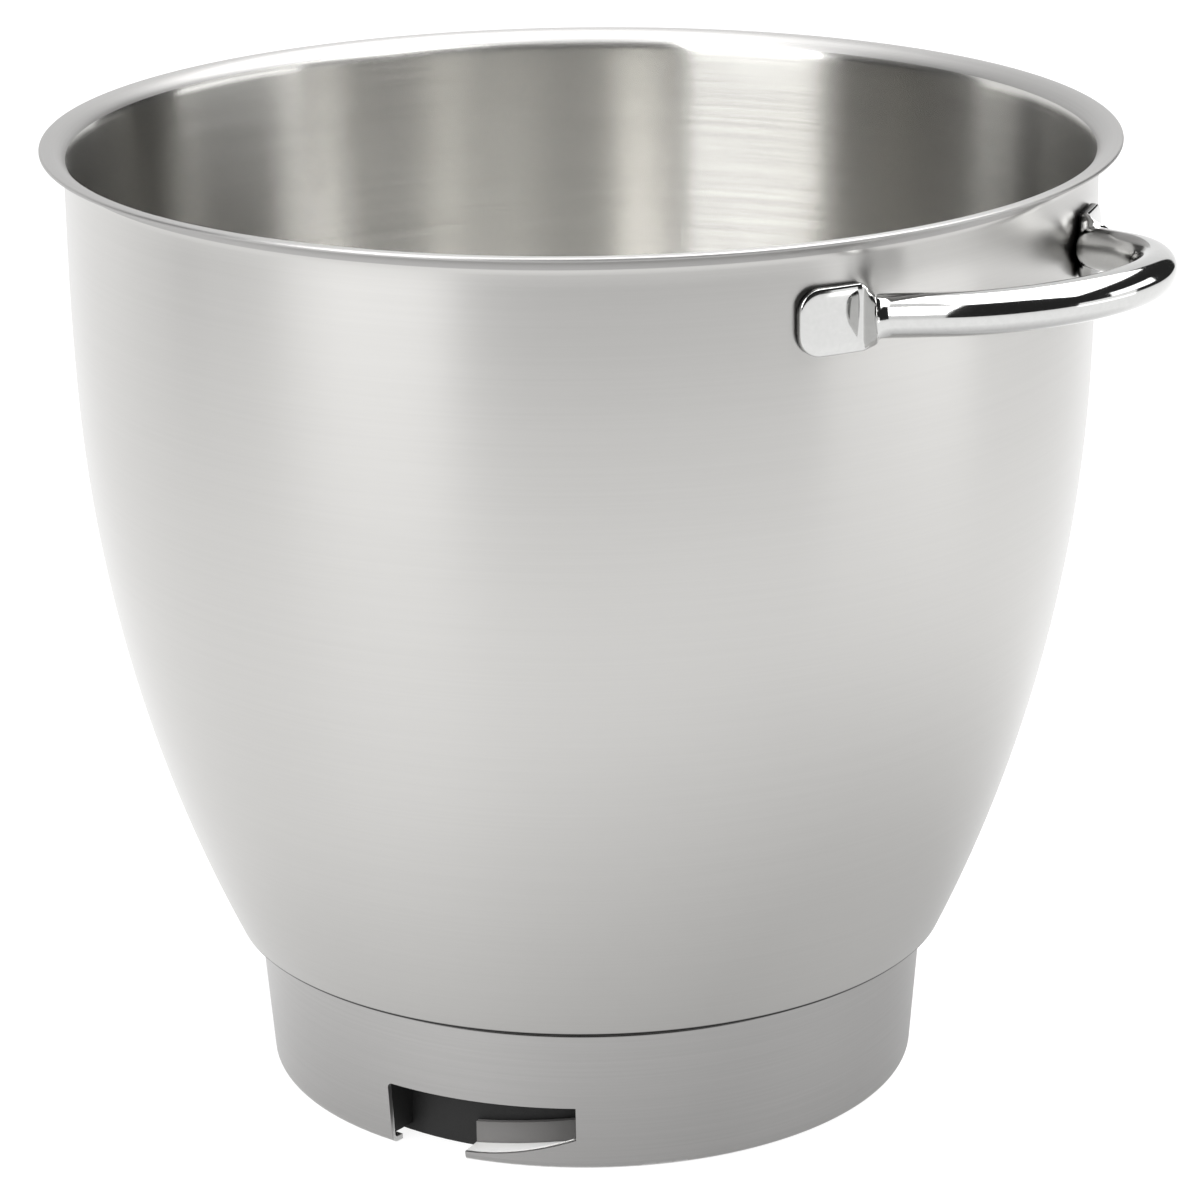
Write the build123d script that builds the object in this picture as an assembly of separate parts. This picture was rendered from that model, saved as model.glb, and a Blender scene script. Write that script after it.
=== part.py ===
from build123d import *
import os
from math import asin, atan, cos, degrees, radians, sin, sqrt, tan

# Stand mixer bowl: a drawn stainless steel bowl on a bayonet foot ring, with one bent tube handle.
# Millimetres. The origin is on the bowl's axis, on the table. +Z is up, and +X goes through the
# middle of the handle.

# Bowl
bowl_height = 228.0          # table to the top of the rim
rim_radius = 125.0           # outer edge of the rim
rim_width = 5.5              # rim beyond the outside of the upright wall
sheet = 1.0                  # thickness of the drawn sheet
rim_roll = 4.0               # radius of the cove under the turned-out rim
rim_edge = 0.45              # radius of the rim's edges, as a share of the sheet
upright_wall = 18.0          # straight part of the side under the rim's cove
belly_radius = 740.0         # outside of the upper of the side's two arcs
belly_slope = 2.6            # degrees from upright of the side where the two arcs meet
seam_radius = 85.7           # outside of the bowl's lower edge, where it overhangs the foot
seam_bend = 1.5              # outside radius of that edge
shoulder_bend = 0.8          # outside radius where the shoulder turns down into the foot
knuckle_radius = 15.0        # outside radius between the neck and the floor
neck_straight = 0.5          # least straight of the neck between its two bends
floor_slope = 10.0           # degrees that the dished floor rises at its edge

# Foot ring
foot_height = 36.9           # table to the bowl's shoulder
foot_overhang = 4.7          # bowl edge beyond the ring
foot_taper = 4.57            # degrees that the ring narrows downwards
foot_sheet = 1.2
foot_bend = 2.2              # outside radius of the ring's bottom edge
hem_width = 3.8              # turned-in bottom edge, which stands on the table

# Bayonet slots
slot_count = 3
slot_start = -85.5           # degrees from +X to the mouth's side of the first slot
mouth_angle = 14.7           # the part of the slot that is open at the bottom
tongue_angle = 19.5          # the part over the tongue
slot_top = 16.2              # height of the slot's top edge
slot_corner = 1.3            # radius of the slot's corners
ramp_low = 2.6               # height of the tongue's outer edge at the mouth
ramp_high = 7.8              # and at the closed end
ramp_curve = 1.8             # 1 is a straight ramp, and more makes it start flatter
ledge_low = 2.1              # height of the ledge's inner edge at the mouth
ledge_high = 4.6             # and at the closed end
ledge_width = 6.8
ledge_gap = 0.4              # degrees between the ledge and the slot's closed end
lip_height = 5.2             # upturned edge at the back of the ledge

# Foot liner
liner_wall = 2.5
liner_web = 2.0              # ceiling over the slots
liner_lift = 0.4             # liner above the table
liner_fit = 0.2              # liner to ring, and rib to hem
pocket_gap = 0.3             # lip to liner wall, in millimetres, and slot side to rib, in degrees
ceiling_gap = 0.4            # slot top to ceiling, and ceiling to bowl floor

# Handle
tube_diameter = 9.5
tube_wall = 1.0
handle_half_width = 38.6     # middle of the handle to the centre of each leg where it starts
leg_angle = 68.5             # degrees between a leg and the line that joins both ends
leg_length = 13.3            # straight part of each leg
handle_tilt = 6.3            # degrees that the handle rises outwards
pad_drop = 18.0              # top of the rim to the middle of the pads
pad_width = 14.9             # the tube pressed flat: half its circumference
pad_thickness = 2.2
pressed_gap = 0.3            # hollow left inside the tube at the pads
pad_step = 2.05              # from a leg's centre to its pad's end, square to +X
pad_length = 14.2            # along the wall
pad_corner = 5.0

# How the solids are cut and drawn
cut_margin = 5.0             # tools reach this far past what they cut
tongue_steps = 6             # sections along a tongue


wall_radius = rim_radius - rim_width
pad_height = bowl_height - pad_drop
pad_radius = wall_radius + pad_thickness / 2
pad_start = degrees(asin((handle_half_width + pad_step) / pad_radius))


def upright(shape):
    """Turns a drawing of radius and height into the plane of X and Z."""
    return Plane.XZ * shape


def section(points):
    """A face in the plane of X and Z from its corners, as radius and height."""
    return upright(make_face(Polyline(*points, close=True)))


def sector(points, start, size):
    """A section turned about the axis from one angle through another."""
    return Rot(0, 0, start) * revolve(section(points), Axis.Z, revolution_arc=size)


def foot_radius(height):
    """Outside of the foot ring at a height."""
    return seam_radius - foot_overhang - (foot_height - height) * tan(radians(foot_taper))


def liner_edge(height):
    """Outside of the liner, clear of the ring's inner face."""
    return foot_radius(height) - foot_sheet / cos(radians(foot_taper)) - liner_fit


ledge_inner = foot_radius(ramp_low) - ledge_width
lip_inner = ledge_inner - foot_sheet
liner_outer = lip_inner - pocket_gap
liner_inner = liner_outer - liner_wall
ceiling_height = slot_top + ceiling_gap
liner_top = ceiling_height + liner_web


def bowl_outline():
    """The outside of the bowl, from the rim's edge under it, down the side and across the floor."""
    under_rim = bowl_height - sheet
    flange = Line((rim_radius, under_rim), (wall_radius + rim_roll, under_rim))
    cove = JernArc(flange @ 1, (-1, 0), rim_roll, 90)

    # The side is upright at first, and then runs in by two arcs to the seam. The upper arc is
    # given. The lower one starts on its slope and takes up the width and height that are left.
    bend = radians(belly_slope)
    upright_end = (wall_radius, under_rim - rim_roll - upright_wall)
    width = wall_radius - seam_radius - belly_radius * (1 - cos(bend))
    height = upright_end[1] - foot_height - belly_radius * sin(bend)
    seam_slope = 2 * atan(width / height) - bend
    lower_radius = width / (cos(bend) - cos(seam_slope))
    side = Line(cove @ 1, upright_end)
    belly = JernArc(side @ 1, (0, -1), belly_radius, -belly_slope)
    lower_belly = JernArc(belly @ 1, belly % 1, lower_radius, belly_slope - degrees(seam_slope))

    # The neck fits inside the ring, so that the ring's top edge meets the flat of the shoulder.
    neck = foot_radius(foot_height) - foot_sheet - shoulder_bend
    shoulder = Line(lower_belly @ 1, (neck + shoulder_bend, foot_height))
    turn = JernArc(shoulder @ 1, (-1, 0), shoulder_bend, 90)

    # The floor clears the liner's ceiling. The knuckle is as large as the neck leaves room for.
    rise = radians(floor_slope)
    floor_edge_height = liner_top + ceiling_gap
    room = foot_height - shoulder_bend - floor_edge_height
    knuckle = min(knuckle_radius, (room - neck_straight) / cos(rise))
    neck_line = Line(turn @ 1, (neck, floor_edge_height + knuckle * cos(rise)))
    corner = JernArc(neck_line @ 1, (0, -1), knuckle, floor_slope - 90)
    dish_radius = (corner @ 1).X / sin(rise)
    past_axis = degrees(cut_margin / dish_radius)
    floor = JernArc(corner @ 1, corner % 1, dish_radius, -floor_slope - past_axis)
    outline = Wire([flange, cove, side, belly, lower_belly, shoulder, turn, neck_line, corner, floor])
    seam = outline.vertices().sort_by_distance(shoulder @ 0)[0]
    return outline.fillet_2d(seam_bend, [seam])


def bowl_shell():
    """One sheet of even thickness: all that the outline holds, less the same drawn in by a sheet."""
    outline = bowl_outline()
    past_axis = (outline @ 1).X
    over_rim = bowl_height + cut_margin
    lid = Polyline(outline @ 1, (past_axis, over_rim), (rim_radius, over_rim), outline @ 0)
    held = make_face(outline.edges() + lid.edges())
    half = Pos(rim_radius / 2, bowl_height / 2) * Rectangle(rim_radius, bowl_height)
    wall = (held - offset(held, -sheet)) & half
    tip = [v for v in wall.vertices() if v.X > rim_radius - sheet]
    wall = fillet(tip, rim_edge * sheet)
    return revolve(upright(wall), Axis.Z)


def tongue_edge(part):
    """Height of the tongue's outer edge, from 0 at the mouth to 1 at the closed end."""
    return ramp_low + (ramp_high - ramp_low) * part ** ramp_curve


def ledge_edge(part):
    """Height of the ledge's inner edge, from 0 at the mouth to 1 at the closed end."""
    return ledge_low + (ledge_high - ledge_low) * part


def along_tongue(corners, angle):
    """A solid through sections whose corners change from the mouth to the closed end."""
    faces = []
    for step in range(tongue_steps + 1):
        part = step / tongue_steps
        faces.append(Rot(0, 0, part * angle) * section(corners(part)))
    return loft(faces)


def slot_cutter():
    """The opening through the ring, with its mouth from angle 0."""
    near = liner_inner
    far = seam_radius + cut_margin
    below = -cut_margin
    mouth = sector([(near, below), (far, below), (far, slot_top), (near, slot_top)], 0, mouth_angle)

    def over_tongue(part):
        low = tongue_edge(part)
        return [(near, low), (far, low), (far, slot_top), (near, slot_top)]

    window = Rot(0, 0, mouth_angle) * along_tongue(over_tongue, tongue_angle)
    cutter = mouth + window
    radial = [e for e in cutter.edges().filter_by(GeomType.LINE) if abs((e % 0).Z) < sin(radians(45))]
    corners = [e for e in radial if e.center().Z > (ramp_low + ramp_high) / 2]
    return fillet(corners, slot_corner)


def ledge():
    """The metal of the slot, folded inwards as a shelf with an upturned lip."""
    root = foot_radius(0) - foot_sheet / 2

    def folded(part):
        low = ledge_edge(part)
        return [
            (root, tongue_edge(part)),
            (ledge_inner, low),
            (ledge_inner, low + lip_height),
            (lip_inner, low + lip_height),
            (lip_inner, low - foot_sheet),
            (root, tongue_edge(part) - foot_sheet),
        ]

    return Rot(0, 0, mouth_angle) * along_tongue(folded, tongue_angle - ledge_gap)


def foot_ring():
    """A tapered ring of sheet with its bottom edge turned in and its slots folded."""
    bottom = foot_radius(0)
    inward = foot_sheet / cos(radians(foot_taper))
    corner = (bottom, 0)
    inner_corner = (foot_radius(foot_sheet) - inward, foot_sheet)
    wall = make_face(
        Polyline(
            (foot_radius(foot_height), foot_height),
            corner,
            (bottom - hem_width, 0),
            (bottom - hem_width, foot_sheet),
            inner_corner,
            (foot_radius(foot_height) - inward, foot_height),
            close=True,
        )
    )
    wall = fillet(wall.vertices().sort_by_distance(corner)[0], foot_bend)
    wall = fillet(wall.vertices().sort_by_distance(inner_corner)[0], foot_bend - foot_sheet)
    ring = revolve(upright(wall), Axis.Z)
    cutter = slot_cutter()
    shelf = ledge()
    for index in range(slot_count):
        turn = Rot(0, 0, slot_start + index * 360 / slot_count)
        ring = ring - turn * cutter + turn * shelf
    return ring


def foot_liner():
    """A moulded ring with a wall behind the slots, a ceiling over them and a rib at each end."""
    body = revolve(
        section([
            (liner_inner, liner_lift),
            (liner_outer, liner_lift),
            (liner_outer, ceiling_height),
            (liner_edge(ceiling_height), ceiling_height),
            (liner_edge(liner_top), liner_top),
            (liner_inner, liner_top),
        ]),
        Axis.Z,
    )
    rib_low = foot_bend + liner_fit
    rib_section = [
        (liner_inner + liner_wall / 2, rib_low),
        (liner_edge(rib_low), rib_low),
        (liner_edge(ceiling_height), ceiling_height),
        (liner_inner + liner_wall / 2, ceiling_height),
    ]
    rib_angle = degrees(liner_wall / liner_outer)
    first = slot_start - pocket_gap - rib_angle
    second = slot_start + mouth_angle + tongue_angle + pocket_gap
    starts = [start + index * 360 / slot_count for index in range(slot_count) for start in (first, second)]
    return body + [sector(rib_section, start, rib_angle) for start in starts]


def round_section(radius):
    """A circle in four arcs, whose ends pair with the corners of a flat section."""
    quarter = 90
    arcs = [CenterArc((0, 0), radius, (index - 0.5) * quarter, quarter) for index in range(4)]
    return make_face(arcs)


def flat_section(width, thickness):
    """The pressed tube's section: thickness along X and width along Y, with round ends."""
    return Rot(0, 0, 90) * SlotOverall(width, thickness)


def pad():
    """One end of the tube pressed flat, bent to the wall, with its free corners rounded."""
    pad_angle = degrees(pad_length / pad_radius)
    flat = upright(Pos(pad_radius, pad_height) * flat_section(pad_width, pad_thickness))
    strip = Rot(0, 0, -pad_start - pad_angle) * revolve(flat, Axis.Z, revolution_arc=pad_angle)
    # The outline that rounds the free corners is cut square to the middle of the pad.
    reach = 2 * pad_length
    outline = make_face(
        FilletPolyline(
            (reach - pad_length / 2, pad_width / 2),
            (-pad_length / 2, pad_width / 2),
            (-pad_length / 2, -pad_width / 2),
            (reach - pad_length / 2, -pad_width / 2),
            radius=pad_corner,
        )
        + Line((reach - pad_length / 2, -pad_width / 2), (reach - pad_length / 2, pad_width / 2))
    )
    facing = Plane(origin=(pad_radius, 0, pad_height), x_dir=(0, 1, 0), z_dir=(1, 0, 0))
    block = extrude(facing * outline, amount=pad_thickness * 2, both=True)
    return strip & Rot(0, 0, -pad_start - pad_angle / 2) * block


def handle():
    """A bent tube, pressed flat at both ends, which lie on the wall as pads."""
    pad_reach = pad_radius * cos(radians(pad_start))
    leg_reach = sqrt((wall_radius + tube_diameter / 2) ** 2 - handle_half_width ** 2)
    tilt = radians(handle_tilt)
    lean = radians(leg_angle)
    plane = Plane(
        origin=(pad_reach, 0, pad_height),
        x_dir=(cos(tilt), 0, sin(tilt)),
        z_dir=(-sin(tilt), 0, cos(tilt)),
    )

    # The bow between the legs is one arc, tangent to both.
    leg_start = Vector(leg_reach - pad_reach, -handle_half_width)
    leg_way = Vector(sin(lean), cos(lean))
    leg_end = leg_start + leg_way * leg_length
    bow_radius = (handle_half_width - leg_length * cos(lean)) / sin(lean)
    bow_top = Vector(leg_end.X + bow_radius * (1 - cos(lean)), 0)
    leg = Line(leg_start, leg_end)
    bow = ThreePointArc(leg_end, bow_top, Vector(leg_end.X, -leg_end.Y))
    other_leg = Line(bow @ 1, Vector(leg_start.X, -leg_start.Y))
    path = plane * Wire([leg, bow, other_leg])
    leg_plane = Plane(origin=path @ 0, x_dir=(path % 0).cross(plane.z_dir), z_dir=path % 0)

    def bar(radius, flat):
        """The round bar between the pads and the run from round to flat at each end."""
        round_face = leg_plane * round_section(radius)
        tube = sweep(round_face, path)
        flat_face = Rot(0, 0, -pad_start) * upright(Pos(pad_radius, pad_height) * flat)
        neck = loft([flat_face, round_face])
        return tube + neck + mirror(neck, about=Plane.XZ)

    outer = bar(tube_diameter / 2, flat_section(pad_width, pad_thickness))
    bore = bar(tube_diameter / 2 - tube_wall, flat_section(pad_width - 2 * tube_wall, pressed_gap))
    end = pad()
    return outer - bore + end + mirror(end, about=Plane.XZ)


pieces = {
    "bowl_shell": bowl_shell,
    "foot_ring": foot_ring,
    "foot_liner": foot_liner,
    "handle": handle,
}
os.makedirs("parts", exist_ok=True)
for name, make in pieces.items():
    shape = make()
    export_step(shape, "parts/" + name + ".step")
    print(name, round(shape.volume), "mm3", shape.bounding_box().size)
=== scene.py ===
# %% [markdown]
# # A stand mixer bowl in stainless steel
# The CAD model already holds the shapes: the drawn bowl, its foot ring, the liner inside the foot
# and the bent tube handle. This lesson models the bowl and the handle again as smooth meshes, gives
# each piece its finish, sets a camera and lights the metal. Steel has hardly any colour of its own.
# What the eye reads as steel is what it mirrors, so most of the work is in the grain and the studio.
# Lengths are in metres, as in Blender, and written in millimetres times `MM` where that reads better.

# %% Load the frame
import bmesh
import bpy
from math import asin, atan, atan2, cos, degrees, pi, radians, sin, sqrt, tan
from mathutils import Matrix, Vector


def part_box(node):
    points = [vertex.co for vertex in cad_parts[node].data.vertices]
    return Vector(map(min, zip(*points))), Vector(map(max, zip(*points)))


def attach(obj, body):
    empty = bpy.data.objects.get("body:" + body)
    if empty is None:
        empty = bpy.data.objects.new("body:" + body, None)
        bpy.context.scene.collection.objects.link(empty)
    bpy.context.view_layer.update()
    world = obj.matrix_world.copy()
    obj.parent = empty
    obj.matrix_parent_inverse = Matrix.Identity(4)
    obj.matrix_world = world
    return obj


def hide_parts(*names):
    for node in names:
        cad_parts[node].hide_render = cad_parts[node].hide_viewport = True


MM = 0.001
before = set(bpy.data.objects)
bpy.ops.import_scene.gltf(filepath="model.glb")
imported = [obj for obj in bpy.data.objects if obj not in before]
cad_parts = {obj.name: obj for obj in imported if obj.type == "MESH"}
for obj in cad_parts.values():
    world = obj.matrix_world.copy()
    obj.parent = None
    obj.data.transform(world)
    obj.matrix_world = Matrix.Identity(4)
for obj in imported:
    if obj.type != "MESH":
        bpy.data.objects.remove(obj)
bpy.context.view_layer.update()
rim_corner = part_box("bowl_shell")[1]
rim_radius = rim_corner.x
rim_height = rim_corner.z
print("rim radius", round(rim_radius / MM, 2), "mm, height", round(rim_height / MM, 2), "mm")

# %% [markdown]
# ## Colours and nodes
# A colour picker gives sRGB, but a shader works in linear light, so one function turns a hex colour
# to linear. A second one adds a node with its settings and links, which keeps each material short
# enough to read from top to bottom as a recipe.

# %% Colour and node helpers
def linear(hex_colour):
    """An sRGB hex colour as linear light with alpha, which is what a shader socket takes."""
    channels = [int(hex_colour[i:i + 2], 16) / 255 for i in (1, 3, 5)]
    light = [c / 12.92 if c <= 0.04045 else ((c + 0.055) / 1.055) ** 2.4 for c in channels]
    return (*light, 1.0)


def add_node(tree, kind, settings=None, links=None):
    """Adds a node. Settings name its attributes or input sockets, and links name its inputs."""
    node = tree.nodes.new(kind)
    for name, value in (settings or {}).items():
        if isinstance(name, str) and hasattr(node, name):
            setattr(node, name, value)
        else:
            node.inputs[name].default_value = value
    for name, source in (links or {}).items():
        tree.links.new(source, node.inputs[name])
    return node


def new_material(name):
    """An empty material, its node tree and its output node."""
    material = bpy.data.materials.new(name)
    material.use_nodes = True
    tree = material.node_tree
    tree.nodes.clear()
    return material, tree, tree.nodes.new("ShaderNodeOutputMaterial")


print("mid grey", [round(c, 3) for c in linear("#808080")])

# %% [markdown]
# ## Turned stainless steel
# Such a bowl is 18/8 stainless steel, deep drawn and then brushed with abrasive cloth while it spins.
# The cloth leaves hair-fine grooves that run round the axis, about 0.1 mm apart. They spread a
# reflection up and down but keep it narrow from side to side, which is why lamps turn into upright
# bands inside a bowl. The shader's anisotropy does that, with its tangent laid round the axis. The
# grooves could be real geometry, but they are far too fine, so noise stretched along them drives
# roughness, bump and a little tone. They are drawn about 0.6 mm apart, coarse enough to show.

# %% Turned steel
GROOVES_PER_METRE = 1600.0      # one groove each 0.6 mm or so
GROOVES_ALONG = 14.0            # a groove keeps its look for about 70 mm round the axis
CLOUDS_PER_METRE = 30.0         # patches of 30 mm where the cloth pressed more or less
SOFT_EDGE = 0.4 * MM            # over which one finish turns into the next
UNBRUSHED_ROUGHNESS = 0.7
SHELF_PAINTED_HIGHLIGHT = "#f2f2f1"           # near white: a painted highlight on the matt folded shelf
IN_SHADOW = "#858483"           # painted shade on the lip behind the slot
PAINTED_CREVICE_SHADE = "#1c1b1a"          # painted shade in creases: under the bowl's edge at the seam, and round the handle's pads


def turned_steel(name, colour, groove_colour, roughness, unevenness, anisotropy, groove_depth,
                 shade=None, inner_shade=None, matt_and_highlight_within=None):
    """Steel that was brushed while it turned.

    A painted shade runs from dark to clear between two heights, and an inner painted shade between
    two radii. Within the matt radius the steel is rough, and pale as a painted highlight.
    """
    material, tree, output = new_material(name)
    place = add_node(tree, "ShaderNodeTexCoord").outputs["Object"]

    # Round the axis: the direction of the grooves, square to the axis and to the radius.
    round_axis = add_node(tree, "ShaderNodeVectorMath", {"operation": "CROSS_PRODUCT", 0: (0, 0, 1)},
                          {1: place})
    tangent = add_node(tree, "ShaderNodeVectorMath", {"operation": "NORMALIZE"}, {0: round_axis.outputs[0]})

    # Height plus radius grows steadily along the wall, from the middle of the floor to the rim.
    parts = add_node(tree, "ShaderNodeSeparateXYZ", {}, {0: place})
    flat = add_node(tree, "ShaderNodeVectorMath", {"operation": "MULTIPLY", 1: (1, 1, 0)}, {0: place})
    radius = add_node(tree, "ShaderNodeVectorMath", {"operation": "LENGTH"}, {0: flat.outputs[0]})
    along_wall = add_node(tree, "ShaderNodeMath", {"operation": "ADD"},
                          {0: radius.outputs["Value"], 1: parts.outputs["Z"]})
    across = add_node(tree, "ShaderNodeMath", {"operation": "MULTIPLY", 1: GROOVES_PER_METRE},
                      {0: along_wall.outputs[0]})
    lift = add_node(tree, "ShaderNodeCombineXYZ", {}, {"Z": across.outputs[0]})
    stretched = add_node(tree, "ShaderNodeVectorMath",
                         {"operation": "MULTIPLY_ADD", 1: (GROOVES_ALONG, GROOVES_ALONG, 0)},
                         {0: place, 2: lift.outputs[0]})
    grooves = add_node(tree, "ShaderNodeTexNoise", {"Scale": 1.0, "Detail": 3.0, "Roughness": 0.6},
                       {"Vector": stretched.outputs[0]})
    clouds = add_node(tree, "ShaderNodeTexNoise", {"Scale": CLOUDS_PER_METRE, "Detail": 2.0},
                      {"Vector": place})

    both = add_node(tree, "ShaderNodeMath", {"operation": "ADD"},
                    {0: grooves.outputs["Fac"], 1: clouds.outputs["Fac"]})
    spread = add_node(tree, "ShaderNodeMapRange",
                      {"From Min": 0.6, "From Max": 1.4,
                       "To Min": roughness - unevenness, "To Max": roughness + unevenness},
                      {"Value": both.outputs[0]})
    tone = add_node(tree, "ShaderNodeMapRange", {"From Min": 0.35, "From Max": 0.65},
                    {"Value": grooves.outputs["Fac"]})
    colours = add_node(tree, "ShaderNodeMix",
                       {"data_type": "RGBA", 6: linear(groove_colour), 7: linear(colour)},
                       {0: tone.outputs["Result"]})
    rough = spread.outputs["Result"]
    # The folded shelf is matt, and its near-white colour is a painted highlight.
    if matt_and_highlight_within:
        folded = add_node(tree, "ShaderNodeMapRange",
                          {"From Min": matt_and_highlight_within, "From Max": matt_and_highlight_within + SOFT_EDGE,
                           "To Min": 1.0, "To Max": 0.0}, {"Value": radius.outputs["Value"]})
        rougher = add_node(tree, "ShaderNodeMix", {"data_type": "FLOAT", 3: UNBRUSHED_ROUGHNESS},
                           {0: folded.outputs["Result"], 2: rough})
        rough = rougher.outputs[0]
        colours = add_node(tree, "ShaderNodeMix", {"data_type": "RGBA", 7: linear(SHELF_PAINTED_HIGHLIGHT)},
                           {0: folded.outputs["Result"], 6: colours.outputs[2]})
    # Painted shade at the seam, by height.
    if shade:
        depth = add_node(tree, "ShaderNodeMapRange",
                         {"interpolation_type": "SMOOTHSTEP", "From Min": shade[0], "From Max": shade[1],
                          "To Min": 1.0, "To Max": 0.0}, {"Value": parts.outputs["Z"]})
        colours = add_node(tree, "ShaderNodeMix", {"data_type": "RGBA", 7: linear(PAINTED_CREVICE_SHADE)},
                           {0: depth.outputs["Result"], 6: colours.outputs[2]})
    # Painted shade on the lip behind the slot, by radius.
    if inner_shade:
        depth = add_node(tree, "ShaderNodeMapRange",
                         {"From Min": inner_shade[0], "From Max": inner_shade[1],
                          "To Min": 1.0, "To Max": 0.0}, {"Value": radius.outputs["Value"]})
        colours = add_node(tree, "ShaderNodeMix", {"data_type": "RGBA", 7: linear(IN_SHADOW)},
                           {0: depth.outputs["Result"], 6: colours.outputs[2]})
    bump = add_node(tree, "ShaderNodeBump", {"Strength": 1.0, "Distance": groove_depth},
                    {"Height": grooves.outputs["Fac"]})
    shader = add_node(tree, "ShaderNodeBsdfPrincipled",
                      {"Metallic": 1.0, "Anisotropic": anisotropy, "Anisotropic Rotation": 0.25},
                      {"Base Color": colours.outputs[2], "Roughness": rough,
                       "Normal": bump.outputs["Normal"], "Tangent": tangent.outputs[0]})
    tree.links.new(shader.outputs[0], output.inputs["Surface"])
    print(name, len(tree.nodes), "nodes")
    return material


# %% [markdown]
# The same finish comes out in four ways. The inside shows its grooves plainly. The outside was gone
# over with a finer cloth, so it is a soft satin. The rim slips under the cloth and is rougher, and
# the foot ring was brushed apart from the bowl. Their base colours differ as painted light and shade:
# the inside is paler, and the outside, the rim and the foot are darker. Where the bowl's edge
# overhangs the ring, painted shade darkens the steel on both sides of the seam, and that is the thin
# dark line that parts the bowl from its foot. The shelf folded into each slot was never brushed
# either, so it is matt, and its near-white colour is a painted highlight. The lip behind it is dark
# with painted shade. Heights and radii pick these places out, so they need no mesh of their own.

# %% The four steels
SEAM_HEIGHT = 36.9 * MM
SHELF_RADIUS = 77.4 * MM        # the shelf is inside this
LIP_RADIUS = 71.6 * MM          # and its lip inside this

# Painted light and shade: the base colours differ, paler inside and darker outside, on the rim and on the
# foot. shade= paints the seam's shade, inner_shade the lip's, and the shelf is a painted highlight.
inside_steel = turned_steel("stainless_steel_turned", "#d3d2cf", "#cdccc9", roughness=0.23,
                            unevenness=0.015, anisotropy=1.0, groove_depth=0.0015 * MM)
outside_steel = turned_steel("stainless_steel_satin", "#bebdbb", "#bcbbb9", roughness=0.28,
                             unevenness=0.005, anisotropy=0.75, groove_depth=0.0001 * MM,
                             shade=(SEAM_HEIGHT + 0.8 * MM, SEAM_HEIGHT + 1.2 * MM))
rim_steel = turned_steel("stainless_steel_rolled_rim", "#a8a7a6", "#a5a4a3", roughness=0.45,
                         unevenness=0.01, anisotropy=0.5, groove_depth=0.0001 * MM)
foot_steel = turned_steel("stainless_steel_brushed_foot", "#b3b2b1", "#afaead", roughness=0.30,
                          unevenness=0.015, anisotropy=0.6, groove_depth=0.0006 * MM,
                          shade=(SEAM_HEIGHT - 2.0 * MM, SEAM_HEIGHT - 2.4 * MM),
                          inner_shade=(LIP_RADIUS, LIP_RADIUS + 0.3 * MM), matt_and_highlight_within=SHELF_RADIUS)

# %% [markdown]
# ## Polished steel
# The handle was buffed on a felt wheel until it mirrors the room. A perfect mirror looks like
# computer graphics, so faint buffing marks change the roughness a little, and a bump of a few
# hundredths of a millimetre lets the reflections wander as they do on a bent tube. Where the pads
# meet the wall, painted shade darkens about the last millimetre before the wall, in the crevice.

# %% Polished steel
RIM_WIDTH = 5.5 * MM
WALL_RADIUS = rim_radius - RIM_WIDTH
MARKS_PER_METRE = 900.0         # buffing marks about 1.1 mm apart
SWELLS_PER_METRE = 90.0         # swells about 11 mm long


def buffed_steel(name, colour, mark_colour):
    """Steel from the buffing wheel: a mirror with faint marks and a slightly wandering surface."""
    material, tree, output = new_material(name)
    place = add_node(tree, "ShaderNodeTexCoord").outputs["Object"]
    flat = add_node(tree, "ShaderNodeVectorMath", {"operation": "MULTIPLY", 1: (1, 1, 0)}, {0: place})
    radius = add_node(tree, "ShaderNodeVectorMath", {"operation": "LENGTH"}, {0: flat.outputs[0]})
    # Painted shade in the crevice where the pads meet the wall.
    crevice = add_node(tree, "ShaderNodeMapRange",
                       {"From Min": WALL_RADIUS + 0.9 * MM, "From Max": WALL_RADIUS + 1.6 * MM,
                        "To Min": 1.0, "To Max": 0.0}, {"Value": radius.outputs["Value"]})
    marks = add_node(tree, "ShaderNodeTexNoise", {"Scale": MARKS_PER_METRE, "Detail": 3.0},
                     {"Vector": place})
    swells = add_node(tree, "ShaderNodeTexNoise", {"Scale": SWELLS_PER_METRE, "Detail": 1.0},
                      {"Vector": place})
    spread = add_node(tree, "ShaderNodeMapRange", {"To Min": 0.05, "To Max": 0.12},
                      {"Value": marks.outputs["Fac"]})
    colours = add_node(tree, "ShaderNodeMix",
                       {"data_type": "RGBA", 6: linear(mark_colour), 7: linear(colour)},
                       {0: marks.outputs["Fac"]})
    colours = add_node(tree, "ShaderNodeMix", {"data_type": "RGBA", 7: linear(PAINTED_CREVICE_SHADE)},
                       {0: crevice.outputs["Result"], 6: colours.outputs[2]})
    bump = add_node(tree, "ShaderNodeBump", {"Strength": 1.0, "Distance": 0.03 * MM},
                    {"Height": swells.outputs["Fac"]})
    shader = add_node(tree, "ShaderNodeBsdfPrincipled", {"Metallic": 1.0},
                      {"Base Color": colours.outputs[2], "Roughness": spread.outputs["Result"],
                       "Normal": bump.outputs["Normal"]})
    tree.links.new(shader.outputs[0], output.inputs["Surface"])
    return material


polished_steel = buffed_steel("stainless_steel_buffed", "#cbcbca", "#c2c2c1")
print(polished_steel.name)

# %% [markdown]
# ## Moulded black polymer
# The liner inside the foot is glass-filled nylon, moulded in a spark-eroded tool. Its skin is a fine
# grain of about 0.3 mm that scatters light, with slightly paler grain tops. Noise of that size as
# bump, roughness and tone is enough, because only a strip of it shows through the slot.

# %% Black polymer
GRAINS_PER_METRE = 3000.0       # grain of about 0.3 mm
NYLON_IOR = 1.53


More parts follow.
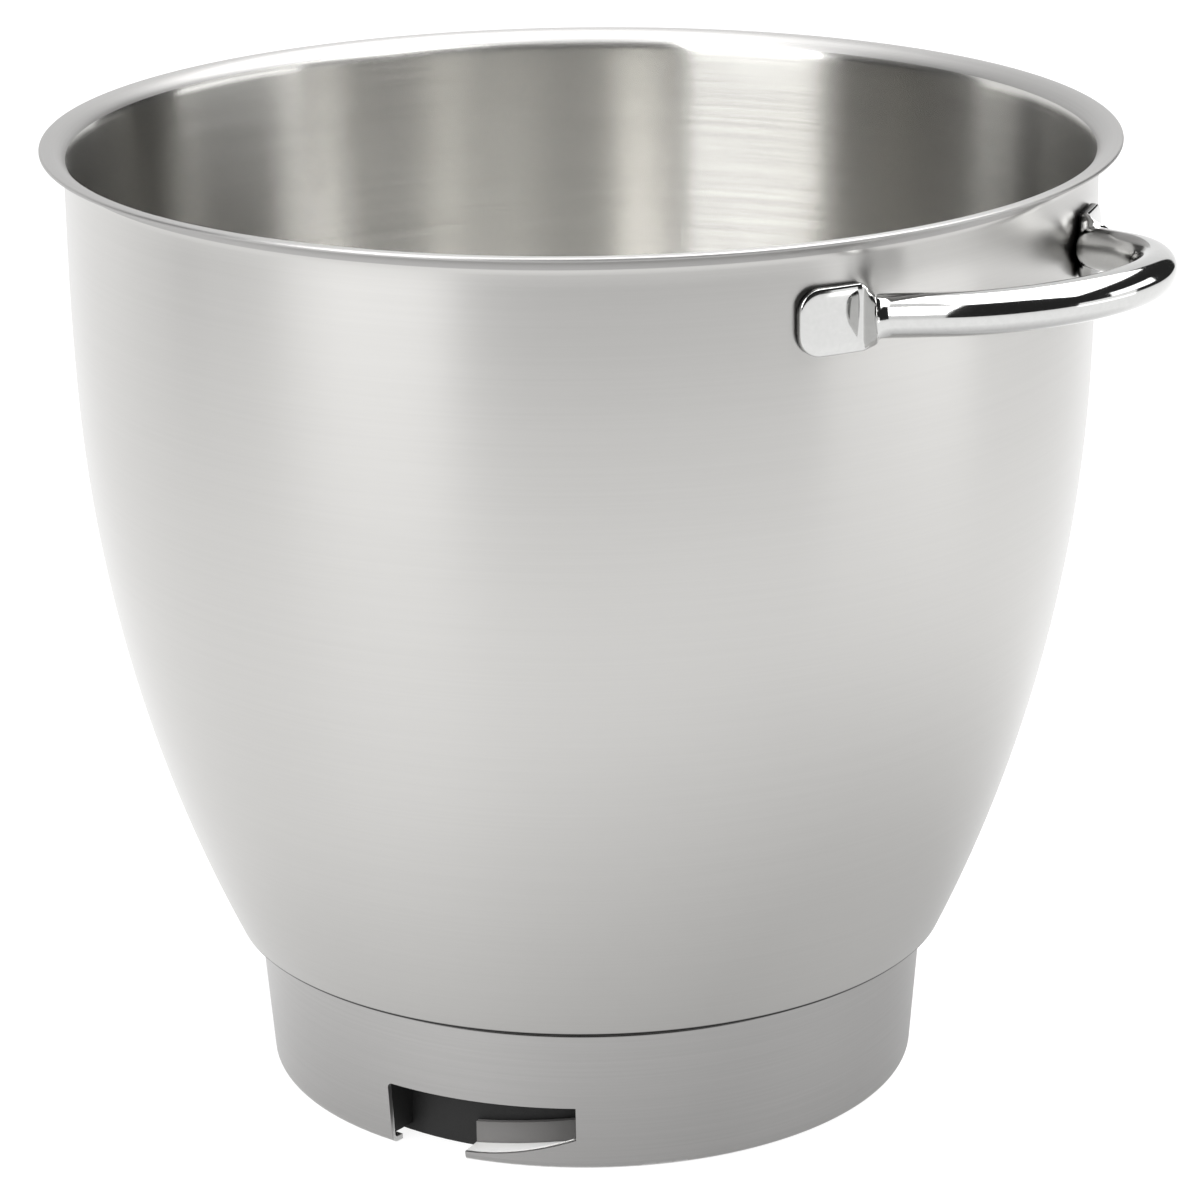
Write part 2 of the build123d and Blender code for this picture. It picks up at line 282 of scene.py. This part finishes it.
def moulded_polymer(name, colour, top_colour):
    """Moulded plastic with the fine grain of a spark-eroded tool."""
    material, tree, output = new_material(name)
    place = add_node(tree, "ShaderNodeTexCoord").outputs["Object"]
    grain = add_node(tree, "ShaderNodeTexNoise", {"Scale": GRAINS_PER_METRE, "Detail": 2.0},
                     {"Vector": place})
    colours = add_node(tree, "ShaderNodeMix", {"data_type": "RGBA", 6: linear(colour), 7: linear(top_colour)},
                       {0: grain.outputs["Fac"]})
    spread = add_node(tree, "ShaderNodeMapRange", {"To Min": 0.5, "To Max": 0.7},
                      {"Value": grain.outputs["Fac"]})
    bump = add_node(tree, "ShaderNodeBump", {"Strength": 0.5, "Distance": 0.05 * MM},
                    {"Height": grain.outputs["Fac"]})
    shader = add_node(tree, "ShaderNodeBsdfPrincipled", {"IOR": NYLON_IOR},
                      {"Base Color": colours.outputs[2], "Roughness": spread.outputs["Result"],
                       "Normal": bump.outputs["Normal"]})
    tree.links.new(shader.outputs[0], output.inputs["Surface"])
    return material


black_polymer = moulded_polymer("moulded_black_nylon", "#060606", "#121212")
print(black_polymer.name)

# %% [markdown]
# ## The drawn bowl
# A bowl like this is pressed from one disc of sheet, so it is the same thickness all over: an outline
# spun round the axis and then thickened. A screw or a lathe modifier would do it too. Here a pen
# follows the outline from the rim down, straight on or round a bend, as a roller follows a template,
# so each bend keeps its real radius. The spin, the sheet's thickness and the rounded edge of the rim
# are then three operators.

# %% Sizes of the bowl
SHEET = 1.0 * MM
RIM_COVE = 4.0 * MM
UPRIGHT_WALL = 18.0 * MM
BELLY_RADIUS = 740.0 * MM
BELLY_SLOPE = 2.6
SEAM_RADIUS = 85.7 * MM
SEAM_BEND = 1.5 * MM
NECK_RADIUS = 79.0 * MM
SHOULDER_BEND = 0.8 * MM
KNUCKLE_RADIUS = 15.0 * MM
FLOOR_SLOPE = 10.0
FLOOR_EDGE = 19.0 * MM
RIM_ROUNDING = 0.42 * SHEET
STEPS_ROUND = 256
FACING_UP = 0.7                 # the least Z of a normal that looks up
OUTSIDE, INSIDE, RIM = range(3)  # places in the bowl's list of materials


class Pen:
    """Draws an outline in the plane of X and Z, straight on or round a bend."""

    def __init__(self, x, z, heading):
        self.x, self.z, self.heading = x, z, radians(heading)
        self.points = [(x, z)]

    def step(self, length):
        self.x += length * cos(self.heading)
        self.z += length * sin(self.heading)
        self.points.append((self.x, self.z))

    def straight(self, length, steps=1):
        for _ in range(steps):
            self.step(length / steps)

    def bend(self, radius, turn, steps):
        """Round an arc. A positive turn, in degrees, is to the left."""
        part = radians(turn) / steps
        for _ in range(steps):
            self.heading += part / 2
            self.step(2 * radius * sin(abs(part) / 2))
            self.heading += part / 2


# %% [markdown]
# The side is upright under the rim, and then two arcs carry it in to the seam. The upper one is
# given. The lower one starts on its slope and takes up the width and the height that are left. The
# seam is a corner that was rounded, so the lower arc stops short of it by the corner's tangent.

# %% The bowl's outline
def bowl_outline():
    """The outside of the bowl, from the rim's edge down to the middle of the floor."""
    bend = radians(BELLY_SLOPE)
    upright_end = rim_height - SHEET - RIM_COVE - UPRIGHT_WALL
    width = WALL_RADIUS - SEAM_RADIUS - BELLY_RADIUS * (1 - cos(bend))
    height = upright_end - SEAM_HEIGHT - BELLY_RADIUS * sin(bend)
    slope = 2 * atan(width / height) - bend
    lower_radius = width / (cos(bend) - cos(slope))
    shortened = degrees(slope) - degrees(SEAM_BEND * tan(pi / 4 - slope / 2) / lower_radius)
    knuckle_top = FLOOR_EDGE + KNUCKLE_RADIUS * cos(radians(FLOOR_SLOPE))

    pen = Pen(rim_radius, rim_height - SHEET, 180)
    pen.straight(rim_radius - WALL_RADIUS - RIM_COVE, steps=2)
    pen.bend(RIM_COVE, 90, steps=10)
    pen.straight(UPRIGHT_WALL, steps=6)
    pen.bend(BELLY_RADIUS, -BELLY_SLOPE, steps=4)
    pen.bend(lower_radius, BELLY_SLOPE - shortened, steps=28)
    pen.bend(SEAM_BEND, shortened - 90, steps=10)
    pen.straight(pen.x - NECK_RADIUS - SHOULDER_BEND, steps=2)
    pen.bend(SHOULDER_BEND, 90, steps=5)
    pen.straight(pen.z - knuckle_top)
    pen.bend(KNUCKLE_RADIUS, FLOOR_SLOPE - 90, steps=14)
    pen.bend(pen.x / sin(radians(FLOOR_SLOPE)), -FLOOR_SLOPE, steps=14)
    return pen.points


outline = bowl_outline()
print("outline", len(outline), "points, lowest", round(min(z for x, z in outline) / MM, 2), "mm")

# %% [markdown]
# The spun surface has its normals set outwards while it is still one skin. Solidify then adds the
# inner skin a sheet's thickness away, and both edges of the rim are bevelled, because a pressed rim
# is never sharp: its edge is the thin bright line round the mouth. Faces then take the outside's, the
# inside's or the rim's steel by where they are and which way they look.

# %% The bowl
def bowl():
    """The outline spun round the axis, given its thickness, with a rounded rim."""
    shape = bmesh.new()
    corners = [shape.verts.new((x, 0, z)) for x, z in outline]
    for first, second in zip(corners, corners[1:]):
        shape.edges.new((first, second))
    corners[-1].co.x = 0
    bmesh.ops.spin(shape, geom=shape.verts[:] + shape.edges[:], axis=(0, 0, 1), cent=(0, 0, 0),
                   angle=2 * pi, steps=STEPS_ROUND, use_merge=True)
    bmesh.ops.remove_doubles(shape, verts=shape.verts, dist=SHEET / 100)
    bmesh.ops.recalc_face_normals(shape, faces=shape.faces)
    if min(shape.faces, key=lambda f: f.calc_center_median().z).normal.z > 0:
        bmesh.ops.reverse_faces(shape, faces=shape.faces)
    bmesh.ops.solidify(shape, geom=shape.faces[:], thickness=SHEET)

    at_rim = [v for v in shape.verts if v.co.xy.length > rim_radius - SHEET / 4]
    loops = {e for v in at_rim for e in v.link_edges
             if e.other_vert(v) in at_rim and abs(e.verts[0].co.z - e.verts[1].co.z) < SHEET / 4}
    bmesh.ops.bevel(shape, geom=list(loops), offset=RIM_ROUNDING, segments=3, profile=0.5,
                    affect="EDGES", material=-1)
    for face in shape.faces:
        middle = face.calc_center_median()
        outwards = face.normal.x * middle.x + face.normal.y * middle.y
        face.material_index = INSIDE if outwards < -1e-6 or face.normal.z > FACING_UP else OUTSIDE
        if middle.z > rim_height - RIM_COVE and middle.xy.length > WALL_RADIUS - SHEET / 2:
            face.material_index = RIM
        face.smooth = True
    mesh = bpy.data.meshes.new("bowl")
    shape.to_mesh(mesh)
    shape.free()
    return mesh


def new_piece(name, mesh, node):
    """An object at the origin that rides on the body and stands for a CAD node."""
    piece = bpy.data.objects.new(name, mesh)
    bpy.context.scene.collection.objects.link(piece)
    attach(piece, "root")
    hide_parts(node)
    heights = [v.co.z / MM for v in mesh.vertices]
    reach = max(v.co.x for v in mesh.vertices) / MM
    print(name, len(mesh.polygons), "faces, z", round(min(heights), 2), "to", round(max(heights), 2),
          "mm, x up to", round(reach, 2), "mm")


bowl_mesh = bowl()
bowl_mesh.materials.append(outside_steel)
bowl_mesh.materials.append(inside_steel)
bowl_mesh.materials.append(rim_steel)
new_piece("bowl", bowl_mesh, "bowl_shell")

# %% [markdown]
# ## The handle
# The handle is one steel tube. Its ends were pressed flat and curved to the wall, and the middle was
# bent to a bow. A curve with a bevel gives a round tube but no pressed ends. So the tube is a row of
# rings, each a circle that is squashed and squared as much as the press did there, and each ring is
# bridged to the next. Half of it is enough, because a mirror makes the other half.

# %% Sizes of the handle
TUBE_RADIUS = 4.74 * MM
PAD_HEIGHT = rim_height - 18.0 * MM
PAD_THICKNESS = 2.2 * MM
PAD_WIDTH = 14.9 * MM
PAD_LENGTH = 14.2 * MM
PAD_CORNER = 5.0 * MM
PAD_EDGE = 0.5 * MM
PAD_SQUARENESS = 7.0
PAD_CROWDING = 1.5              # above 1, a pad's rings crowd at its free end
ROUND = 2.0                     # the squareness of an ellipse
PAD_STEP = 2.05 * MM            # how far outside the leg's start the pad ends
HALF_WIDTH = 38.6 * MM
LEG_LENGTH = 13.3 * MM
LEAN = radians(68.5)
TILT = radians(6.3)
pad_radius = WALL_RADIUS + PAD_THICKNESS / 2
pad_start = -asin((HALF_WIDTH + PAD_STEP) / pad_radius)
pad_reach = pad_radius * cos(pad_start)
tilted_out = Vector((cos(TILT), 0, sin(TILT)))
tilted_up = Vector((-sin(TILT), 0, cos(TILT)))
SEGMENTS = 48                   # round the tube
STEPS = 24                      # along a pad, and along half of the bow
LEG_STEPS = 4
NECK_STEPS = 12
NECK_SPEEDS = (1.6, 1.2, 3.0)   # how soon thickness, width and squareness get to the tube's
CLOSE = 0.01 * MM               # points nearer than this are one


def ring(shape, centre, way, up, thickness, width, squareness):
    """One ring of the tube, square to its way. A squareness of 2 is an ellipse, and more is boxier."""
    outwards = way.cross(up).normalized()
    made = bmesh.ops.create_circle(shape, segments=SEGMENTS, radius=1.0)["verts"]
    for vert in made:
        turn = atan2(vert.co.y, vert.co.x)
        side, height = (abs(part) ** (2 / squareness) * (1 if part > 0 else -1)
                        for part in (cos(turn), sin(turn)))
        vert.co = centre + outwards * (side * thickness / 2) + up * (height * width / 2)
    return [e for e in shape.edges if e.verts[0] in made and e.verts[1] in made]


# %% [markdown]
# The pad follows the wall, and its width shrinks round its two free corners. The neck goes from flat
# to round over a few millimetres, on a smooth curve from the wall's direction to the leg's. As it
# thickens it is pushed out, so that it never dips into the wall. The leg is straight, and the bow is
# one arc that meets the mirror plane squarely.

# %% The rings
def eased(part):
    """From 0 to 1 with a soft start and a soft end."""
    return part * part * (3 - 2 * part)


def pad_rings():
    """Centre, way, up, thickness, width and squareness of each ring from the pad's free end."""
    rings = []
    for step in range(STEPS + 1):
        run = PAD_LENGTH * (step / STEPS) ** PAD_CROWDING
        turn = pad_start - (PAD_LENGTH - run) / pad_radius
        left = max(PAD_CORNER - run, 0)
        width = PAD_WIDTH - 2 * PAD_CORNER + 2 * sqrt(PAD_CORNER ** 2 - left ** 2)
        edge = max(PAD_EDGE - run, 0)
        thickness = PAD_THICKNESS - PAD_EDGE + sqrt(PAD_EDGE ** 2 - edge ** 2)
        centre = Vector((pad_radius * cos(turn), pad_radius * sin(turn), PAD_HEIGHT))
        way = Vector((-sin(turn), cos(turn), 0))
        rings.append((centre, way, Vector((0, 0, 1)), thickness, width, PAD_SQUARENESS))
    return rings


def tube_rings():
    """The same for the leg and half of the bow."""
    rings = []
    origin = Vector((pad_reach, 0, PAD_HEIGHT))
    leg_reach = sqrt((WALL_RADIUS + TUBE_RADIUS) ** 2 - HALF_WIDTH ** 2)
    way = tilted_out * sin(LEAN) + Vector((0, cos(LEAN), 0))
    start = origin + tilted_out * (leg_reach - pad_reach) - Vector((0, HALF_WIDTH, 0))
    for step in range(LEG_STEPS):
        centre = start + way * (LEG_LENGTH * step / LEG_STEPS)
        rings.append((centre, way, tilted_up, 2 * TUBE_RADIUS, 2 * TUBE_RADIUS, ROUND))
    leg_end = start + way * LEG_LENGTH
    bow_radius = -leg_end.y / sin(LEAN)
    bow_centre = leg_end + tilted_out * (-bow_radius * cos(LEAN)) - Vector((0, leg_end.y, 0))
    for step in range(STEPS + 1):
        turn = LEAN * (1 - step / STEPS)
        way = tilted_out * sin(turn) + Vector((0, cos(turn), 0))
        centre = bow_centre + tilted_out * (bow_radius * cos(turn)) - Vector((0, bow_radius * sin(turn), 0))
        rings.append((centre, way, tilted_up, 2 * TUBE_RADIUS, 2 * TUBE_RADIUS, ROUND))
    return rings


def neck_rings(last, first):
    """Rings between the pad's last ring and the tube's first one."""
    rings = []
    span = (first[0] - last[0]).length
    for step in range(1, NECK_STEPS):
        part = step / NECK_STEPS
        blend = eased(part)
        pull = part * (1 - part)
        centre = last[0].lerp(first[0], blend)
        centre += (last[1] * (1 - part) - first[1] * part) * pull * span
        way = last[1].lerp(first[1], part).normalized()
        up = last[2].lerp(first[2], part).normalized()
        blends = [eased(min(part * speed, 1)) for speed in NECK_SPEEDS]
        sizes = [a + (b - a) * blend for a, b, blend in zip(last[3:], first[3:], blends)]
        short = WALL_RADIUS + sizes[0] / 2 - centre.xy.length
        if short > 0:
            centre += Vector((centre.x, centre.y, 0)).normalized() * short
        rings.append((centre, way, up, *sizes))
    return rings


def handle():
    """Half of the tube as bridged rings, mirrored to the other side."""
    shape = bmesh.new()
    pads, tubes = pad_rings(), tube_rings()
    rows = [ring(shape, *values) for values in pads + neck_rings(pads[-1], tubes[0]) + tubes]
    for row, next_row in zip(rows, rows[1:]):
        bmesh.ops.bridge_loops(shape, edges=row + next_row)
    bmesh.ops.edgeloop_fill(shape, edges=rows[0])
    whole = shape.verts[:] + shape.edges[:] + shape.faces[:]
    bmesh.ops.mirror(shape, geom=whole, axis="Y", merge_dist=CLOSE)
    bmesh.ops.remove_doubles(shape, verts=shape.verts, dist=CLOSE)
    bmesh.ops.recalc_face_normals(shape, faces=shape.faces)
    for face in shape.faces:
        face.smooth = True
    mesh = bpy.data.meshes.new("handle_tube")
    shape.to_mesh(mesh)
    open_edges = sum(not e.is_manifold for e in shape.edges)
    shape.free()
    print("handle open edges", open_edges)
    return mesh


handle_mesh = handle()
handle_mesh.materials.append(polished_steel)
new_piece("handle_tube", handle_mesh, "handle")

# %% [markdown]
# ## The foot
# The ring and the liner come from the CAD model as they are, because their slots, ramps and folded
# ledges are exact there. They only take their finishes.

# %% Finishes of the foot
for node, material in (("foot_ring", foot_steel), ("foot_liner", black_polymer)):
    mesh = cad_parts[node].data
    mesh.materials.clear()
    mesh.materials.append(material)
    print(node, len(mesh.polygons), "faces of", material.name)

# %% [markdown]
# ## Camera
# A long lens about a metre away keeps the bowl's sides nearly parallel and looks a little down into
# it. The camera could be aimed with a constraint. A plain matrix is easier to read back, and it holds
# the slight roll of the picture too.

# %% Camera
camera_place = Vector((0.6721, -0.7550, 0.4460))
camera_target = Vector((0.0023, 0.0021, 0.1131))
camera_roll = radians(-0.67)
camera_data = bpy.data.cameras.new("camera")
camera_data.lens = 133.1
camera_data.sensor_width = 36.0
camera = bpy.data.objects.new("camera", camera_data)
bpy.context.scene.collection.objects.link(camera)
aim = (camera_target - camera_place).to_track_quat("-Z", "Y").to_matrix().to_4x4()
camera.matrix_world = Matrix.Translation(camera_place) @ aim @ Matrix.Rotation(camera_roll, 4, "Z")
bpy.context.scene.camera = camera
bpy.context.scene.view_settings.view_transform = "Standard"
print("camera", round((camera_target - camera_place).length, 3), "m from its target")

# %% [markdown]
# ## Studio floor and background
# Product pictures of steel are taken in a white tent. The world is white where it is seen, directly
# or in the metal, and weaker as a light, so that it doesn't wash out the lamps. The floor glows in
# the same way. It stays white round the bowl and still takes the bowl's soft shadow. In the steel,
# a painted shadow dims the mirrored floor near the foot, most of all at the bowl's right, away from
# the key. That is why the lower half of the bowl turns grey towards the seam.

# %% Floor and background
def seen_directly(tree):
    """Light Path's test for camera, glossy and transmission rays, as one value from 0 to 1."""
    path = add_node(tree, "ShaderNodeLightPath")
    seen = add_node(tree, "ShaderNodeMath", {"operation": "MAXIMUM"},
                    {0: path.outputs["Is Camera Ray"], 1: path.outputs["Is Glossy Ray"]})
    return add_node(tree, "ShaderNodeMath", {"operation": "MAXIMUM"},
                    {0: seen.outputs[0], 1: path.outputs["Is Transmission Ray"]}).outputs[0]


WORLD_LIGHT = 0.40                      # as a light, where 1 is white
FLOOR_GLOW = 0.9                        # as it is seen
PAINTED_SHADOW_GLOW = 0.43                        # painted shadow: the glow the steel mirrors next to the foot
PAINTED_SHADOW_CENTRE = (0.088, 0.035, 0.0)      # in metres, middle of the painted shadow, under the bowl's right side
PAINTED_SHADOW_FROM, PAINTED_SHADOW_TO = 0.07, 0.25       # metres from that centre, over which the painted shadow fades
FLOOR_RADIUS = 6.0
FLOOR_COLOUR = "#7c7c7c"                # as the lamps light it

world = bpy.data.worlds.new("studio")
bpy.context.scene.world = world
world.use_nodes = True
tree = world.node_tree
tree.nodes.clear()
level = add_node(tree, "ShaderNodeMapRange", {"To Min": WORLD_LIGHT, "To Max": 1.0},
                 {"Value": seen_directly(tree)})
background = add_node(tree, "ShaderNodeBackground", {"Color": (1, 1, 1, 1)},
                      {"Strength": level.outputs["Result"]})
add_node(tree, "ShaderNodeOutputWorld", {}, {"Surface": background.outputs[0]})

floor_material, tree, output = new_material("pale_studio_floor")
lit = add_node(tree, "ShaderNodeBsdfDiffuse", {"Color": linear(FLOOR_COLOUR)})
place = add_node(tree, "ShaderNodeTexCoord").outputs["Object"]
# Painted shadow: glossy rays see the floor's glow dimmer near the foot.
away = add_node(tree, "ShaderNodeVectorMath", {"operation": "DISTANCE", 1: PAINTED_SHADOW_CENTRE}, {0: place})
mirrored = add_node(tree, "ShaderNodeMapRange",
                    {"From Min": PAINTED_SHADOW_FROM, "From Max": PAINTED_SHADOW_TO, "To Min": PAINTED_SHADOW_GLOW, "To Max": FLOOR_GLOW},
                    {"Value": away.outputs["Value"]})
path = add_node(tree, "ShaderNodeLightPath")
level = add_node(tree, "ShaderNodeMix", {"data_type": "FLOAT", 3: FLOOR_GLOW},
                 {0: path.outputs["Is Camera Ray"], 2: mirrored.outputs["Result"]})
glow_level = add_node(tree, "ShaderNodeMath", {"operation": "MULTIPLY"},
                      {0: seen_directly(tree), 1: level.outputs[0]})
glow = add_node(tree, "ShaderNodeEmission", {"Color": (1, 1, 1, 1)}, {"Strength": glow_level.outputs[0]})
both = add_node(tree, "ShaderNodeAddShader", {}, {0: lit.outputs[0], 1: glow.outputs[0]})
tree.links.new(both.outputs[0], output.inputs["Surface"])

mesh = bpy.data.meshes.new("floor")
shape = bmesh.new()
bmesh.ops.create_circle(shape, cap_ends=True, radius=FLOOR_RADIUS, segments=96)
shape.to_mesh(mesh)
shape.free()
mesh.materials.append(floor_material)
floor = bpy.data.objects.new("floor", mesh)
bpy.context.scene.collection.objects.link(floor)
print("floor", floor.dimensions.x, "m across")

# %% [markdown]
# ## Lamps and cards
# A softbox is a lamp that the metal can see, and a card is something dark for it to mirror. Both are
# placed by the angle round the bowl, counted from the camera's side. Inside the bowl a lamp shows on
# the far side: the key stands on the left and makes the bright band on the right. It is mirrored again
# after two bounces round the wall, as the fainter band on the left. The left card makes the dark part
# at the right edge, and the front cards make the dark leaf along the tube. Lamps at the sides hang
# upright, because the steel draws a tilted one out into an uneven band.

# %% Lamps and cards
CAMERA_AZIMUTH = degrees(atan2(camera_place.y, camera_place.x))


def around(azimuth, elevation, distance):
    """A place round the bowl. Azimuth 0 is the camera's side, and it grows to the camera's right."""
    turn = radians(CAMERA_AZIMUTH + azimuth)
    flat = distance * cos(radians(elevation))
    return Vector((flat * cos(turn), flat * sin(turn), distance * sin(radians(elevation)) + rim_height / 2))


def facing(place, upright):
    """The matrix of something at a place that looks at the bowl's axis, level or tilted to the bowl."""
    target = Vector((0, 0, place.z if upright else rim_height / 2))
    turn = (target - place).to_track_quat("-Z", "Y").to_matrix().to_4x4()
    return Matrix.Translation(place) @ turn


def softbox(name, azimuth, elevation, distance, width, height, radiance, upright=True):
    """A rectangular area lamp of even radiance."""
    data = bpy.data.lights.new(name, "AREA")
    data.shape = "RECTANGLE"
    data.size = width
    data.size_y = height
    data.energy = radiance * pi * width * height
    lamp = bpy.data.objects.new(name, data)
    bpy.context.scene.collection.objects.link(lamp)
    lamp.matrix_world = facing(around(azimuth, elevation, distance), upright)


def card(name, azimuth, elevation, distance, width, height, colour):
    """An upright card beside the set, which gives the metal something darker to mirror."""
    material, tree, output = new_material(name)
    shader = add_node(tree, "ShaderNodeEmission", {"Color": linear(colour)})
    tree.links.new(shader.outputs[0], output.inputs["Surface"])
    mesh = bpy.data.meshes.new(name)
    shape = bmesh.new()
    bmesh.ops.create_grid(shape, x_segments=1, y_segments=1, size=0.5)
    bmesh.ops.scale(shape, vec=(width, height, 1), verts=shape.verts)
    bmesh.ops.transform(shape, matrix=facing(around(azimuth, elevation, distance), True), verts=shape.verts)
    shape.to_mesh(mesh)
    shape.free()
    mesh.materials.append(material)
    piece = bpy.data.objects.new(name, mesh)
    piece.visible_camera = False
    bpy.context.scene.collection.objects.link(piece)


# Azimuth and elevation are in degrees, and distance, width and height in metres.
softbox("key", -44.5, 36, 1.7, 0.84, 1.3, 7.2)
softbox("overhead", 90, 80, 1.7, 2.2, 2.2, 3.1, upright=False)
softbox("right_high", 96, 60, 1.7, 2.4, 1.0, 3.2, upright=False)
softbox("right_side", 91, 14, 1.6, 1.1, 0.40, 2.6)
softbox("low_left", -64, 3, 0.8, 0.58, 0.18, 0.2)
softbox("low_left_back", -118, 4, 0.9, 0.8, 0.2, 0.4)
softbox("low_right", 68, 3, 0.8, 0.55, 0.18, 1.3)
card("left_card", -88, 22, 1.49, 1.12, 1.05, "#060606")
for index, azimuth in enumerate((-3, 42, 84, 124)):
    card(f"front_card_{index + 1}", azimuth, 36, 2.08, 1.44, 2.6, "#303030")
print(len(bpy.data.lights), "lamps")
